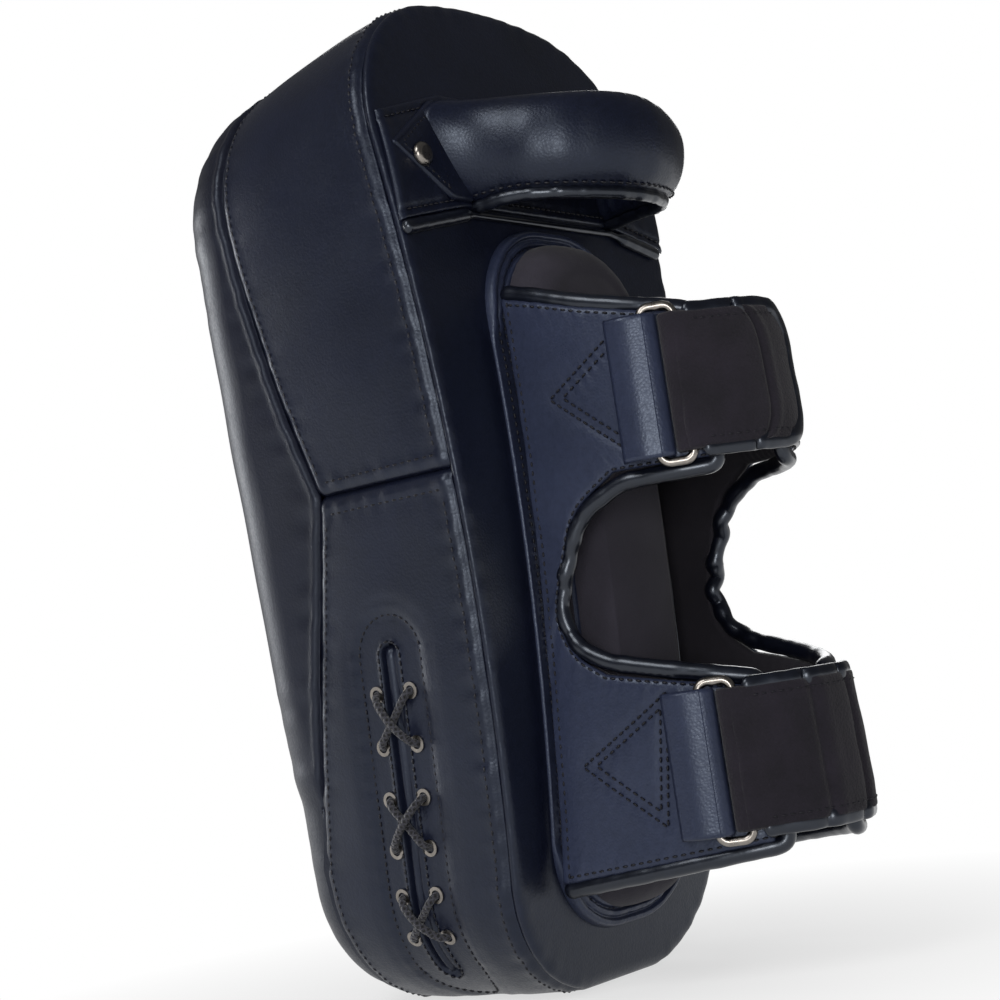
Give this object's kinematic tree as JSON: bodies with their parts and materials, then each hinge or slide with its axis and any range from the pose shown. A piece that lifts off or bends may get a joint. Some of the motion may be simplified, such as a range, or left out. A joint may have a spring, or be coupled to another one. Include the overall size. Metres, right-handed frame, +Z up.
{
  "type": "thai pad",
  "caption": "Upright padded striking pad with a laced gusset, a padded grip and two strapped forearm cuffs on its back.",
  "frame": {"origin": "middle of the flat base on the bottom end, under the pad's width and between its back and its strike face", "axes": "+Z up along the pad, +Y out of the strike face, -Y the forearm side, -X the gusset with the lacing"},
  "size_m": [0.1887, 0.2392, 0.4172],
  "materials": {
    "foam": "dense closed-cell foam, inside the cover",
    "strike_leather": "smooth synthetic leather, fine grain, semi-matte",
    "body_leather": "dark navy black synthetic leather, fine pebble grain, soft sheen",
    "cuff_leather": "dark navy black synthetic leather, fine grain, soft sheen",
    "binding": "glossy black edge binding",
    "neoprene": "matte warm black knit over neoprene",
    "strap_loop": "matte black loop fabric",
    "hook_tape": "black hook tape",
    "lace_cord": "round braided lace",
    "nickel": "dark nickel"
  },
  "bodies": {
    "pad": {"strike_foam": "foam", "middle_foam": "foam", "back_foam": "foam", "strike_cover": "strike_leather", "upper_gusset": "body_leather", "lower_gusset": "body_leather", "back_panel": "body_leather", "lace_facing": "body_leather", "lace_tongue": "body_leather", "lace_eyelets": "nickel", "side_lace": "lace_cord", "grip_base_band": "body_leather", "grip_band_binding": "binding", "grip_cover": "body_leather", "grip_lining": "neoprene", "grip_foam": "foam", "grip_lower_binding": "binding", "grip_upper_binding": "binding", "grip_end_tab_left": "body_leather", "grip_end_tab_right": "body_leather", "grip_rivet_left": "nickel", "grip_rivet_right": "nickel", "sleeve_base": "body_leather", "sleeve_base_binding": "binding", "forearm_cushion_cover": "neoprene", "forearm_cushion_foam": "foam", "near_sleeve": "cuff_leather", "near_sleeve_lining": "neoprene", "near_sleeve_binding": "binding", "far_sleeve": "cuff_leather", "far_sleeve_lining": "neoprene", "far_sleeve_binding": "binding", "upper_ring": "nickel", "upper_ring_tab": "cuff_leather", "upper_strap": "strap_loop", "lower_ring": "nickel", "lower_ring_tab": "cuff_leather", "lower_strap": "strap_loop"},
    "upper_tail": {"upper_strap_tail": "strap_loop", "upper_strap_hook_patch": "hook_tape"},
    "lower_tail": {"lower_strap_tail": "strap_loop", "lower_strap_hook_patch": "hook_tape"}
  },
  "joints": [
    {"name": "upper_tail_hinge", "type": "hinge", "parent": "pad", "child": "upper_tail", "pos_m": [-0.03454, -0.1389, 0.233], "axis": [0, 0, -1], "range_deg": [0, 110]},
    {"name": "lower_tail_hinge", "type": "hinge", "parent": "pad", "child": "lower_tail", "pos_m": [-0.03663, -0.13994, 0.087], "axis": [0, 0, -1], "range_deg": [0, 110]}
  ]
}
